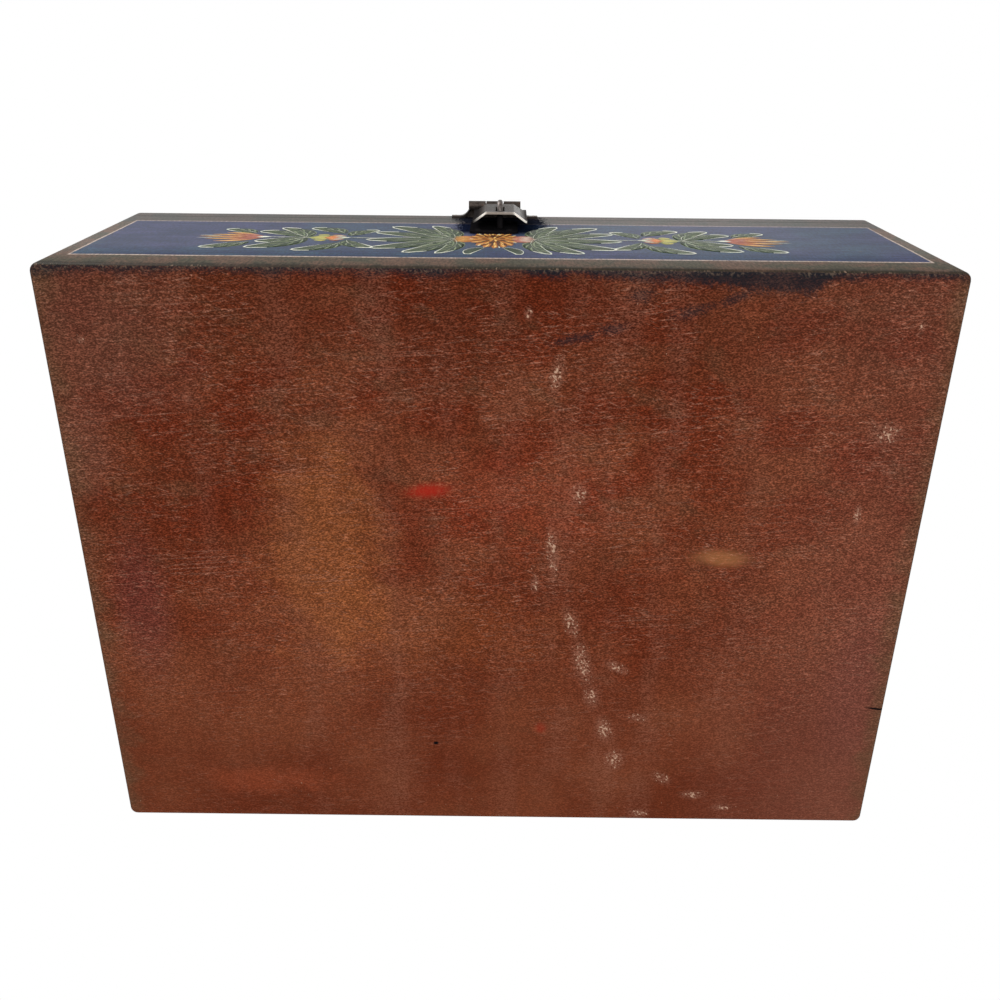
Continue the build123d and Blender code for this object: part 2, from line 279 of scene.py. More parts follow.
# Marks on the underside, as (x, y, half length along x, half length along y, turn in degrees)
FLAKED_SPOTS = (
    (9.5, -100, 1.4, 2.4, 0), (19.5, -79, 2.6, 7, 8), (29, -35, 3.2, 4.4, 0), (20, -12, 2.2, 11, -5),
    (14, 2, 1.6, 4, 0), (28, 19, 2.8, 7, -20), (33, 36, 3.4, 11, -12), (46.5, 38.5, 5, 2.4, 30),
    (37, 52, 3, 5, -10), (56, 62, 4, 1.8, 10), (43, 68, 3.4, 6, -14), (48, 83, 4, 5, 0),
    (67.5, 92, 4.6, 2.6, 35), (81, 100.5, 5, 2.2, 0), (94, 107, 4, 1.6, 0), (59.5, 110.5, 4, 2, 0),
    (133.5, -59, 5.5, 4.4, 0), (139, -97, 1.2, 2, 0), (-139.2, -89.4, 1.4, 1.2, 40), (128.5, -28, 1.4, 4, 0),
)
BLUE_BLOBS = (
    (46, -106, 5, 3, 0), (64, -101, 9, 2.6, -14), (78, -106, 9, 2.2, -24),
    (25.5, -91.6, 8, 1.8, -12), (38, -95, 6, 2.4, -10),
)
PURPLE_AREAS = ((-133, 14, 12, 34), (141, 48, 15, 40))
TAN_PATCH = (82, -9.6, 11, 3.6, 3)
RED_SMUDGE = (-24.8, -35.6, 8, 3, -6)
SMALL_RED_SMUDGE = (17.7, 67.6, 3, 3.4)
SMALL_HOLE = (-24, 75.5, 1.1, 0.8)
SPLIT = (149.5, 56.5, 4.5, 0.5, 8)

# How far blue-black paint reaches in from the front edge, in shares of a whole reach, at places across
WHOLE_REACH = 10
BLUE_REACH = (
    (-152, 0.0), (-90, 0.05), (-20, 0.08), (0, 0.16), (30, 0.3), (60, 0.42),
    (84, 0.72), (98, 0.8), (106, 0.4), (116, 0.2), (152, 0.15),
)

# How dusty the bands are that run from front to back under the box, at places across
DUSTY_BANDS = (
    (-152, 0.1), (-110, 0.1), (-104, 0.4), (-98, 0.1), (-80, 0.15), (-72, 0.6), (-66, 0.2), (-48, 0.3),
    (-40, 0.8), (-32, 0.2), (-17, 0.4), (-10, 0.05), (7, 0.5), (12, 0.1), (24, 0.6), (32, 0.2),
    (44, 0.8), (52, 0.3), (60, 0.7), (68, 0.1), (91, 0.35), (98, 0.05), (152, 0.2),
)


class Whereabouts:
    """Distances from the box's faces and edges, and masks of its faces, for a place in millimetres."""

    def __init__(self, place):
        self.place = place
        axes = [place.add("ShaderNodeSeparateXYZ", None, {0: place}, axis) for axis in range(3)]
        self.x, self.y, self.z = axes
        self.from_side = HIGH[1] - abs(self.y)
        self.from_end = HIGH[0] - abs(self.x)
        self.from_top = HIGH[2] - self.z
        self.in_plan = self.from_side.least(self.from_end)
        cap = self.z.least(self.from_top)
        self.edge = self.in_plan.most(self.from_side.most(self.from_end).least(cap))

        long_face = self.nearest(self.from_side, self.from_end.least(cap))
        self.front = long_face * self.y.fall(-HALF_BLEND, HALF_BLEND)
        self.back = long_face * self.y.rise(-HALF_BLEND, HALF_BLEND)
        self.ends = self.nearest(self.from_end, self.from_side.least(cap))
        self.under = self.nearest(self.z, self.in_plan)
        self.top = self.nearest(self.from_top, self.in_plan)
        self.upper = self.z.rise(*UPPER_BAND) * (1 - self.top)

        near, deep = INSIDE_FADE
        self.interior = (
            self.in_plan.rise(WALL - deep, WALL - near)
            * self.z.rise(FLOOR_TOP - deep, FLOOR_TOP - near)
            * self.z.fall(LID_LOW + near, LID_LOW + deep)
        )
        self.seam = abs(self.z - SEAM)
        self.rim = self.seam.fall(*RIM_FADE) * self.in_plan.rise(*RIM_FADE) * (1 - self.interior)

    @staticmethod
    def nearest(distance, others):
        """1 where one face is nearer than the others."""
        return (distance - others).fall(-FACE_BLEND, FACE_BLEND)

    def in_panel(self):
        """How far inside a painted panel's edge a place lies, or well outside where the face has none."""
        places = (self.x, self.y, self.z)
        faces = (
            (self.front, (0, 2), FRONT_MARGINS),
            (self.ends, (1, 2), END_MARGINS),
            (self.top, (0, 1), LID_MARGINS),
        )
        total = OUTSIDE_PANEL
        for face, (u, v), (left, low, right, high) in faces:
            across = (places[u] - (LOW[u] + left)).least((HIGH[u] - right) - places[u])
            up = (places[v] - (LOW[v] + low)).least((HIGH[v] - high) - places[v])
            inside = (across * (1 / UPRIGHT_LINE_SHARE)).least(up)
            total = face * (inside - OUTSIDE_PANEL) + total
        return total


# Relief of the finishes, in millimetres
BOARD_RELIEF = 0.22
METAL_RELIEF = 0.05
PAINT_RELIEF = 0.04

# Colours as they look in plain light: wood and dirt, and then the black and blue-black of painted shade
WOOD_LIGHT = srgb(176, 140, 100)
WOOD_DARK = srgb(140, 104, 70)
WOOD_STAIN = srgb(104, 78, 54)
DIRTY_WOOD = srgb(74, 56, 42)
EDGE_GRIME = srgb(34, 29, 23)
SEAM_GRIME = srgb(30, 26, 22)
EDGE_DUST = srgb(116, 98, 82)
# The black of painted shade on the fittings, a pin hole and a split, and the blue-black of the hasp's
# painted shadow on the front wall
SHADE_BLACK = srgb(14, 14, 17)
HASP_SHADOW_BLUE = srgb(12, 17, 30)

# The painted walls and lid
NAVY = srgb(20, 32, 62)
NAVY_TEAL = srgb(38, 62, 80)
NAVY_VIOLET = srgb(50, 52, 86)
MARGIN = srgb(62, 58, 46)
MARGIN_WARM = srgb(84, 64, 52)
MARGIN_GREY = srgb(50, 51, 52)
PALE_LINE = srgb(170, 152, 140)

# The worn paint under the box
RED_BROWN = srgb(92, 42, 25)
RED_BROWN_DARK = srgb(60, 26, 15)
RED_BROWN_LIGHT = srgb(106, 56, 36)
DEEP_RED = srgb(92, 34, 17)
BRIGHT_RED = srgb(164, 38, 26)
ORANGE_RED = srgb(146, 70, 44)
ORANGE_TAN = srgb(128, 74, 42)
PALE_TAN = srgb(168, 112, 70)
OLIVE_GREY = srgb(88, 64, 46)
GREY_PINK = srgb(106, 72, 60)
DUSTY_PINK = srgb(110, 66, 54)
PURPLE_BROWN = srgb(96, 50, 46)
BLUE_BLACK = srgb(24, 30, 36)
RUBBED = srgb(148, 104, 86)
FLAKE = srgb(206, 168, 142)

# Metals: a dark and a light tone of each, the painted highlight on the leaf's lower edge at its crest and on
# its flanks, and the colour where they are rusty
PLATE_TONES = (srgb(48, 42, 39), srgb(80, 72, 67))
LEAF_TONES = (srgb(40, 35, 32), srgb(66, 59, 54))
WIRE_TONES = (srgb(66, 62, 60), srgb(112, 104, 100))
TACK_TONES = (srgb(70, 64, 58), srgb(116, 108, 100))
CREST_HIGHLIGHT = srgb(150, 142, 134)
FLANK_HIGHLIGHT = srgb(240, 236, 228)
RUST = srgb(84, 60, 46)

# The floor
FLOOR_PALE = srgb(236, 235, 232)

# Broad areas of other colours on the underside, as (marks, shares of the half sizes between which they fade,
# strength, colour)
SOFT_AREAS = (
    (((-62, -14, 24, 52),), (0.3, 1.25), 0.7, ORANGE_TAN),
    (((-24, 24, 56, 24),), (0.2, 1.2), 0.25, ORANGE_TAN),
    (((9, -32, 44, 22),), (0.2, 1.2), 0.1, BRIGHT_RED),
    (((-138, -92, 34, 30), (-147, -55, 12, 24)), (0.3, 1.5), 0.35, GREY_PINK),
    (((-92, 95, 30, 8),), (0.2, 1.2), 0.3, ORANGE_RED),
)


def nearest_mark(place, marks):
    """How far the nearest of some marks is, in shares of its half sizes."""
    found = None
    for mark in marks:
        distance = place.within(*mark)
        found = distance if found is None else found.least(distance)
    return found


def broad_tints(at, colour, cloud):
    """Large soft areas of other colours on the underside."""
    place = at.place
    forward = at.y.fall(*REDDER_FRONT)
    patch = place.noise(34, 20, -12, detail=2, shift=3)
    colour = (patch.rise(0.45, 0.6) * (forward * 0.5 + 0.15)).mix(colour, DEEP_RED)
    colour = (cloud.rise(0.52, 0.7) * (forward * 0.25 + 0.08)).mix(colour, OLIVE_GREY)
    colour = (at.y.fall(*DARKER_FRONT) * 0.35).mix(colour, RED_BROWN_DARK)
    soft = cloud * 1.6 - 0.8
    for marks, fade, strength, tint in SOFT_AREAS:
        area = (nearest_mark(place, marks) + soft).fall(*fade)
        colour = (area * strength).mix(colour, tint)
    purple = nearest_mark(place, PURPLE_AREAS).fall(0.3, 1.3)
    colour = (purple * 0.45).mix(colour, PURPLE_BROWN)
    dusty = at.x.rise(*DUSTY_RIGHT) * at.y.rise(*DUSTY_BACK, 0.35, 0.6)
    colour = dusty.mix(colour, DUSTY_PINK)
    worn_ends = (at.from_end + cloud * 22).fall(*WORN_ENDS)
    return (worn_ends * 0.7).mix(colour, OLIVE_GREY)


def rubbed_fibres(at, cloud):
    """Combed fibres of the brushed paint, about 0.5 on average, and how pale the paint is rubbed."""
    place = at.place
    level = place.noise(3.0, 0.52, -5, detail=1, shift=3)
    slanting = place.noise(2.4, 0.5, 27, detail=1, shift=9)
    falling = place.noise(2.6, 0.5, -27, detail=1, shift=13)
    crossing = cloud.rise(0.42, 0.58) * (slanting - falling) + falling
    fibres = level * 0.5 + crossing * 0.5

    patches = place.noise(22, detail=2, shift=15).rise(0.34, 0.58)
    falling_strokes = place.noise(6.5, 0.7, -9, detail=1, shift=19)
    rising_strokes = place.noise(5, 0.7, 21, detail=1, shift=21)
    strokes = falling_strokes.most(rising_strokes).rise(0.6, 0.74) * patches
    scratches = place.noise(42, 0.6, -4, detail=1, shift=51).rise(0.6, 0.7) * patches * 0.6
    pale_fibres = fibres.rise(0.56, 0.72) * (patches * 0.5 + 0.15)
    return fibres, strokes.most(scratches).most(pale_fibres)


def underside_marks(at, colour, grit, grain, cloud):
    """Smears, dust, flakes and knocks at their own places under the box."""
    place = at.place
    from_front = at.y + HIGH[1]
    reach = at.x.curve(BLUE_REACH) * WHOLE_REACH
    smear = (from_front - reach + cloud * 9 + grit * 7).fall(*BLUE_SMEAR)
    blobs = (nearest_mark(place, BLUE_BLOBS) + cloud * 1.6 + grain * 1.2).fall(1.4, 2.6)
    colour = (smear.most(blobs * 0.7) * 0.85).mix(colour, BLUE_BLACK)
    front_grime = (from_front + cloud * 8 + grain * 3).fall(*FRONT_GRIME)
    colour = (front_grime * 0.8).mix(colour, BLUE_BLACK)

    bands = at.x.curve(DUSTY_BANDS) * place.noise(14, 40, detail=2, shift=47).rise(0.35, 0.65)
    colour = (bands * grain.rise(0.3, 0.65) * 0.3).mix(colour, RUBBED)
    spots = nearest_mark(place, FLAKED_SPOTS).fall(0.2, 1.5)
    colour = (spots * grain.rise(0.35, 0.6) * 0.5).mix(colour, RUBBED)
    flake = (grit + spots * 0.22).rise(0.72, 0.84)
    colour = (flake * 0.75).mix(colour, FLAKE)
    edge_dust = (at.edge + cloud * 5).fall(*DUSTY_EDGE) * grit.rise(0.48, 0.66)
    colour = (edge_dust * 0.45).mix(colour, EDGE_DUST)

    tan_patch = (place.within(*TAN_PATCH) + grain * 0.9 + cloud * 0.8).fall(1.1, 2.2)
    colour = (tan_patch * 0.5).mix(colour, PALE_TAN)
    smudge = (place.within(*RED_SMUDGE) + grain * 1.1).fall(0.7, 1.9)
    small_smudge = (place.within(*SMALL_RED_SMUDGE) + grain).fall(0.7, 1.6)
    colour = (smudge.most(small_smudge * 0.4) * 0.8).mix(colour, BRIGHT_RED)
    # The pin hole and the split as black spots: the painted shade inside them
    hole = place.within(*SMALL_HOLE).fall(0.6, 1.2)
    split = place.within(*SPLIT).fall(0.5, 1.2)
    return hole.most(split).mix(colour, SHADE_BLACK)


def underside_paint(at):
    """The worn red-brown paint under the box, and its height. Its grain fades towards the back."""
    place = at.place
    drift = place.noise(80, detail=2)
    cloud = place.noise(15, 10, 20, detail=3, shift=7)
    grain = place.noise(0.72, 0.44, -4, detail=1, shift=5)
    grit = place.noise(1.3, 0.9, 60, detail=2, shift=11)
    colour = drift.rise(0.38, 0.62).mix(RED_BROWN, RED_BROWN_LIGHT)
    colour = broad_tints(at, colour, cloud).scaled(at.y.rise(*LIGHTER_BACK, 1.04, 1.15))
    fibres, pale = rubbed_fibres(at, cloud)
    fade = at.y.rise(*FAINTER_GRAIN, 1.0, 0.45)
    colour = (pale * fade * 0.5).mix(colour, RUBBED)
    sandy = grain.rise(0.36, 0.8, -0.34, 1.1) * fade + 1
    combed = fibres.rise(0.42, 0.74, -0.13, 0.42) * fade + 1
    colour = colour.scaled(sandy * combed)
    return underside_marks(at, colour, grit, grain, cloud), grain


def painted_panel(at, colour, blotch, fine):
    """The dark field and pale line laid on a margin's colour, their height, and the hasp's painted shadow
    beside it.
    """
    place = at.place
    stroke = place.noise(26, 0.9, detail=3, shift=23)
    wobble = place.noise(45, detail=1, shift=27)
    inside = at.in_panel() + (wobble - 0.5) * LINE_WANDER
    field = inside.rise(-FIELD_SOFT, FIELD_SOFT)
    tint = wobble.rise(0.42, 0.58).mix(NAVY_VIOLET, NAVY_TEAL)
    navy = (stroke * 0.6 + blotch * 0.4).rise(0.4, 0.66).mix(NAVY, tint)
    line = abs(inside).fall(LINE / 2 - LINE_SOFT, LINE / 2 + LINE_SOFT)
    line = line * (blotch + fine * 0.5).fall(0.86, 1.02) * (1 - at.upper * LINE_LOST)
    colour = (line * 0.9).mix(field.mix(colour, navy), PALE_LINE)

    # Painted shadow of the hasp: blue-black on the front wall around and to the right of the hasp
    ragged = (fine - 0.5) * 0.5 + (blotch - 0.5) * 0.6
    from_hasp = place.within(HASP_X + SHADE_RIGHT, -HIGH[1], SHADE_RADIUS, SHADE_RADIUS)
    hasp_shade = (from_hasp + ragged).fall(0.9, 1.2) * at.front * at.z.rise(*SHADE_HEIGHTS)
    colour = (hasp_shade * 0.9).mix(colour, HASP_SHADOW_BLUE)
    return colour, stroke * 0.5 + field * 0.25 + line * 0.6, hasp_shade


def wall_paint(at, panelled):
    """The olive margin of the walls and lid, which may frame a panel, and the plain back.

    Gives the colour, the height, how much varnish is left and how much of the hasp's painted shadow lies on
    it.
    """
    place = at.place
    blotch = place.noise(14, detail=3, shift=11)
    fine = place.noise(0.9, 2.6, detail=2, shift=19)
    colour = (blotch * 0.8 + fine * 0.2).rise(0.4, 0.6).mix(MARGIN, MARGIN_WARM)
    colour = (at.upper * 0.6).mix(colour, MARGIN_GREY)
    height = fine * 0.3
    # How much of the hasp's painted shadow lies here; none where the face has no panel
    painted_shade = 0.0
    if panelled:
        colour, relief, painted_shade = painted_panel(at, colour, blotch, fine)
        height = height + relief
    plain_back = blotch.rise(0.3, 0.7).mix(RED_BROWN, RED_BROWN_DARK)
    colour = at.back.mix(colour, plain_back)
    colour = colour.scaled(fine.rise(0.34, 0.66, 0.72, 1.32))

    worn = (at.edge + blotch * 6 + fine * 3).fall(*WORN_EDGE)
    colour = (worn * 0.8).mix(colour, DIRTY_WOOD)
    foot = (at.z + blotch * 9 + fine * 4).fall(*GRIMY_FOOT) * (1 - at.under)
    colour = (foot * 0.75).mix(colour, EDGE_GRIME)
    bare = (at.edge + blotch * 5).fall(*BARE_EDGE) * fine.rise(0.5, 0.62)
    colour = (bare * 0.26).mix(colour, FLAKE)
    colour = (at.seam.fall(*GRIMY_SEAM) * 0.6).mix(colour, SEAM_GRIME)
    chip = place.noise(2.4, detail=3, shift=37).rise(0.68, 0.71) * blotch.rise(0.5, 0.62)
    colour = (chip * 0.7).mix(colour, MARGIN_WARM)
    gloss = at.z.rise(*GLOSSY_BAND, 0.35, 1.0)
    varnish = (1 - worn) * (1 - at.under) * (1 - at.back) * gloss * (1 - painted_shade)
    return colour, height - chip * 0.5 - worn * 0.3, varnish, painted_shade


def inner_wood(at, turn):
    """Plain aged wood inside the box, with the grain turned from X, and its height."""
    grain = at.place.noise(60, 1.6, turn, detail=3, shift=5)
    fibre = at.place.noise(18, 0.4, turn, detail=2, shift=3)
    stain = at.place.noise(30, detail=2, shift=7)
    colour = (grain * 0.7 + fibre * 0.3).rise(0.36, 0.64).mix(WOOD_LIGHT, WOOD_DARK)
    colour = (stain.rise(0.5, 0.72) * 0.4).mix(colour, WOOD_STAIN)
    return colour, fibre


def board_paint(name, panelled, grain_turn=0.0):
    """A finish for boards. What shows depends on the place on the box, so wear runs across the joints."""
    material, start, place = new_material(name)
    at = Whereabouts(place)
    colour, height, varnish, painted_shade = wall_paint(at, panelled)
    if not panelled:
        under_colour, under_height = underside_paint(at)
        colour = at.under.mix(colour, under_colour)
        height = at.under * (under_height - height) + height
    wood_colour, wood_height = inner_wood(at, grain_turn)
    bare = at.interior.most(at.rim)
    colour = bare.mix(colour, wood_colour)
    height = bare * (wood_height - height) + height
    varnish = varnish * (1 - bare)
    # Rougher where the hasp's painted shadow lies, so that it stays dark
    roughness = 0.8 - varnish * 0.2 + painted_shade * 0.2
    coat = {"Coat Weight": varnish * 0.75, "Coat Roughness": 0.5, "Coat IOR": 1.4}
    finish_surface(start, colour, roughness, height, BOARD_RELIEF, {"Specular IOR Level": 0.0, **coat})
    return material


def beyond(origin, distances):
    """Distances measured on from an origin."""
    return [origin + distance for distance in distances]


def painted_shade_by_wood(at, depths):
    """How much painted shade blackens a fitting on the front, where it lies close to the wood behind the
    hasp's crest.
    """
    near_wood = at.y.rise(*beyond(CREST_OUT, depths)) * at.z.fall(*beyond(LID_LOW, SHADE_TOP))
    return near_wood * at.y.fall(0, HALF_BLEND)


def paint_edge_highlight(at, colour, fine):
    """The leaf's colour with a painted highlight along its lower edge, brighter on its flanks than on its
    crest.
    """
    across = at.x - LEAF_X
    low = (at.z + fine * 0.8).fall(*beyond(LEAF_LOW, HIGHLIGHT_UP))
    edge = low * at.y.fall(*beyond(CREST_OUT, HIGHLIGHT_IN)) * across.rise(*HIGHLIGHT_ACROSS)
    return edge.mix(colour, abs(across).rise(*FLANKS).mix(CREST_HIGHLIGHT, FLANK_HIGHLIGHT))


def old_metal(name, tones, roughness, is_leaf=False, shade_depths=PLATE_SHADE):
    """Dull plated steel: brown with tarnish and rust, black with painted shade close to the wood and on the
    leaf's left flank, and a painted highlight along the leaf's edge.
    """
    material, start, place = new_material(name)
    at = Whereabouts(place)
    patch = place.noise(4, detail=3)
    fine = place.noise(0.6, detail=3, shift=6)
    colour = (patch * 0.5 + fine * 0.5).rise(0.36, 0.62).mix(*tones)
    rust = place.noise(1.4, detail=3, shift=15).rise(0.58, 0.7) * 0.6
    colour = rust.mix(colour, RUST)
    # Painted shade: the fitting turns black and matte where it lies close to the wood
    painted_shade = painted_shade_by_wood(at, shade_depths)
    if is_leaf:
        # Painted shadow on the leaf's left flank
        painted_shade = painted_shade.most((at.x - LEAF_X).fall(*SHADED_FLANK) * 0.8)
    colour = (painted_shade * 0.95).mix(colour, SHADE_BLACK)
    if is_leaf:
        # Painted highlight along the leaf's lower edge
        colour = paint_edge_highlight(at, colour, fine)
    worn_roughness = fine.rise(0.3, 0.7, roughness - 0.1, roughness + 0.12) + painted_shade * 0.4
    shine = {"Metallic": 0.85 - painted_shade * 0.85, "Specular IOR Level": 0.0}
    finish_surface(start, colour, worn_roughness, fine + patch, METAL_RELIEF, shine)
    return material


def thick_paint(name, colour, second):
    """Thick decorator's paint in two tones, a little glossy."""
    material, start, place = new_material(name)
    tone = place.noise(2.2, detail=3, shift=63)
    fine = place.noise(0.5, detail=2, shift=67)
    mixed = tone.rise(0.38, 0.6).mix(colour, second).scaled(fine.rise(0.3, 0.7, 0.82, 1.15))
    gloss = {"Coat Weight": 0.14, "Coat Roughness": 0.45, "Specular IOR Level": 0.08}
    finish_surface(start, mixed, 0.55, fine, PAINT_RELIEF, gloss)
    return material


def put_on(material, *nodes):
    """Gives CAD nodes a finish."""
    for node in nodes:
        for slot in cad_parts[node].material_slots:
            slot.material = material


def dress_boards():
    """The finishes of the boards and the brads, which are painted over with them."""
    put_on(board_paint("bottom_paint", False), "bottom_board")
    put_on(board_paint("case_paint", True), "front_wall", "back_wall", "lid_board", "corner_brads")
    put_on(board_paint("end_paint", True, 90.0), "left_wall", "right_wall")


def dress_fittings():
    """The metal of the hasp, the hinges and their tacks."""
    plate_metal = old_metal("plate_metal", PLATE_TONES, 0.5)
    leaf_metal = old_metal("leaf_metal", LEAF_TONES, 0.5, is_leaf=True)
    wire_metal = old_metal("wire_metal", WIRE_TONES, 0.42, shade_depths=WIRE_SHADE)
    tack_metal = old_metal("tack_metal", TACK_TONES, 0.5)
    put_on(plate_metal, "hasp_lid_plate", "staple_plate")
    put_on(leaf_metal, "hasp_leaf")
    for side in ("left", "right"):
        put_on(plate_metal, f"{side}_hinge_base_leaf", f"{side}_hinge_lid_leaf")
    put_on(wire_metal, "staple", "hasp_pin", "left_hinge_pin", "right_hinge_pin")
    put_on(tack_metal, "hasp_plate_tacks", "staple_plate_tacks", "hinge_base_tacks", "hinge_lid_tacks")


# Painted spray: where its middle lies on the front, how large it is drawn on the ends and the lid, and how
# large the lid's two branches are and how far from its middle they start
SPRAY_MIDDLE = (-2.5, 50.0)
END_SPRAY_SHARE = 0.8
LID_SPRAY_SHARE = 1.15
LID_BRANCH_SHARE = 0.72
LID_BRANCH_FOOT = 14.0

# A stroke is a colour name, points across (u) and up (v) from the middle, and a half width at each point.
# Its ends keep a share of its width. OUTLINE is the half width of a leaf's cream line.
STROKE_POINTS = 11
SHORT_POINTS = 5
POINTED_END = 0.08
BLUNT_END = 0.12
OUTLINE = 0.7
BARBS = 4
rng = random.Random(11)

# The right half of the spray: lobes of the fan leaf, as (tip, width, bend); a small leaf and the leaves on
# the stem, as (base, tip, width, bend); and stretches of stem, as (start, end, bend)
FAN_FOOT = (14.5, -0.5)
FAN_LOBES = (
    ((23, 25), 8.0, 0.10), ((38, 23), 9.5, 0.08), ((43, 11), 8.5, 0.04), ((45, -3), 8.5, -0.02),
    ((42, -18), 9.5, -0.06), ((30, -25), 8.5, -0.10), ((19, -26), 6.5, -0.12),
)
SMALL_LEAF = ((3.4, -16), (8.8, -28), 4.6, 0.12)
STEM_LEAVES = (
    ((53, 4), (44.5, 15), 7.0, -0.16), ((53.5, -4), (43.5, -17.5), 7.0, 0.16),
    ((56, 9), (69, 18.5), 8.0, 0.14), ((55, -9), (69, -23), 8.0, -0.14),
    ((69, 0), (87, 11), 9.0, 0.14), ((69, 0), (80, 18), 8.0, 0.16), ((69, 0), (85, -8), 8.0, -0.1),
    ((69, 0), (86, -19), 9.5, -0.14), ((89, 8), (101, 15), 6.5, 0.1), ((88, -9), (102, -19.5), 7.0, -0.1),
)
STEMS = (((43, 0), (54, 0), 0.0), ((67, 0), (72, 0), 0.0), ((70, 0), (86, 0), 0.02))

# Petals of the tulip, as (tip, width, bend)
TULIP_PETALS = (
    ((100, 8), 3.2, 0.10), ((101, -8.5), 3.2, -0.10), ((104.5, 4.2), 3.0, 0.05), ((105, -3.8), 3.0, -0.05),
    ((108.5, 0.6), 2.6, 0),
)

# Rings of petals of the rosette, as (colour, count, reach across and up, width, share of the reach at which
# they start, share of a petal by which they are turned), and its highest point, below the staple's plate
ROSETTE_RINGS = (
    ("ochre", 16, (9.0, 17.0), 5.2, 0.0, 0.0), ("ochre", 10, (5.5, 10.0), 4.0, 0.0, 0.0),
    ("brown", 16, (8.8, 16.4), 1.1, 0.3, 0.5), ("brown", 9, (5.4, 9.8), 1.7, 0.1, 0.3),
    ("gold", 16, (8.8, 16.6), 0.9, 0.6, 0.1), ("gold", 11, (6.4, 12.0), 0.8, 0.5, 0.25),
    ("gold", 5, (2.6, 5.0), 1.0, 0.1, 0.0), ("cream", 7, (9.2, -17.4), 0.7, 0.8, 0.5),
)
ROSETTE_TOP = 10.6

# Each colour in two tones, and how high it lies, in the order in which it is painted
PAINTS = {
    "leaf_green": (srgb(26, 42, 25), srgb(44, 56, 33), 0.00),
    "light_green": (srgb(96, 110, 80), srgb(122, 130, 100), 0.05),
    "ochre": (srgb(152, 90, 32), srgb(180, 116, 50), 0.02),
    "yellow": (srgb(172, 160, 84), srgb(150, 148, 76), 0.02),
    "orange": (srgb(180, 98, 44), srgb(196, 122, 62), 0.05),
    "apricot": (srgb(166, 112, 68), srgb(184, 134, 90), 0.03),
    "brown": (srgb(60, 32, 14), srgb(86, 46, 20), 0.06),
    "pink": (srgb(150, 86, 72), srgb(170, 108, 90), 0.06),
    "rust": (srgb(116, 56, 38), srgb(138, 72, 48), 0.07),
    "gold": (srgb(226, 186, 112), srgb(204, 158, 84), 0.08),
    "cream": (srgb(192, 198, 182), srgb(214, 212, 196), 0.10),
}

# How high a bead of paint stands, as a share of its half width, and how many sides it has
BROAD_CROWN = 0.008
THIN_CROWN = 0.08
THIN_COLOURS = ("light_green", "brown", "rust", "gold", "cream")
BEAD_SIDES = 6


def bow(start, end, bend, count=STROKE_POINTS):
    """Points along an arc from start to end whose middle stands off by bend times its length."""
    (u0, v0), (u1, v1) = start, end
    mid_u = (u0 + u1) / 2 - 2 * bend * (v1 - v0)
    mid_v = (v0 + v1) / 2 + 2 * bend * (u1 - u0)
    points = []
    for step in range(count):
        t = step / (count - 1)
        weights = ((1 - t) ** 2, 2 * t * (1 - t), t * t)
        controls = ((u0, mid_u, u1), (v0, mid_v, v1))
        points.append(tuple(sum(w * c for w, c in zip(weights, line)) for line in controls))
    return points


def brushed(colour, start, end, width, bend=0.0, fullest=0.5, count=STROKE_POINTS):
    """One stroke of a loaded brush, pointed at both ends and fullest part of the way along."""
    points = bow(start, end, bend, count)
    power = math.log(0.5) / math.log(fullest)
    fullness = [math.sin(math.pi * (i / (count - 1)) ** power) for i in range(count)]
    return (colour, points, [width / 2 * max(POINTED_END, share) for share in fullness])


def heading(points, i):
    """The way a line of points runs at one of them, as a step of length 1."""
    (u0, v0), (u1, v1) = points[max(i - 1, 0)], points[min(i + 1, len(points) - 1)]
    length = math.hypot(u1 - u0, v1 - v0)
    return (u1 - u0) / length, (v1 - v0) / length


def edge_points(points, halves, side):
    """The points along one edge of a stroke."""
    edge = []
    for i, (u, v) in enumerate(points):
        along_u, along_v = heading(points, i)
        edge.append((u - side * halves[i] * along_v, v + side * halves[i] * along_u))
    return edge


def liner(points, heaviest=0.7, weight=OUTLINE, colour="cream"):
    """A line from a flat liner brush: fuller where it runs level and near its heaviest part."""
    halves = []
    for i in range(len(points)):
        level = abs(heading(points, i)[0])
        along = i / (len(points) - 1)
        fullness = max(0.25, 1 - abs(along - heaviest) / heaviest)
        halves.append(weight * (0.3 + 0.7 * level) * fullness)
    return (colour, points, halves)


def blunt(base, tip, width, bend):
    """The body of a leaf: pointed at its base and rounded at its tip."""
    points = bow(base, tip, bend)
    along = [i / (len(points) - 1) for i in range(len(points))]
    fullness = [math.sin(math.pi * 0.92 * t ** 0.9) ** 0.7 for t in along]
    return ("leaf_green", points, [width / 2 * max(BLUNT_END, share) for share in fullness])


def leaf(base, tip, width, bend):
    """A dark leaf with fine barbs on its spine and a cream line up one edge that hooks over its tip."""
    blade = blunt(base, tip, width, bend)
    strokes = [blade]
    spine, halves = blade[1], blade[2]
    last = STROKE_POINTS - 1
    outer = 1 if bend <= 0 else -1
    edges = {side: edge_points(spine, halves, side) for side in (outer, -outer)}
    for side, edge in edges.items():
        for barb in range(BARBS):
            foot = 1 + barb * (last - 4) // (BARBS - 1)
            far = edge[min(foot + 3, last)]
            reach = 0.8 + 0.2 * rng.random()
            start = spine[foot]
            end = tuple(a + reach * (b - a) for a, b in zip(start, far))
            strokes.append(brushed("light_green", start, end, 0.8, 0.06 * side, 0.6, SHORT_POINTS))
    nose = tuple(a + 0.5 * (a - b) for a, b in zip(spine[-1], spine[-2]))
    over_tip = [nose] + edges[-outer][last:last - 3:-1]
    strokes.append(liner(edges[outer][4:] + over_tip, 0.7))
    strokes.append(liner(edges[-outer][1:-3], 0.5, 0.55 * OUTLINE, "light_green"))
    strokes.append(liner(spine[:-3], 0.3, 0.4 * OUTLINE))
    return strokes


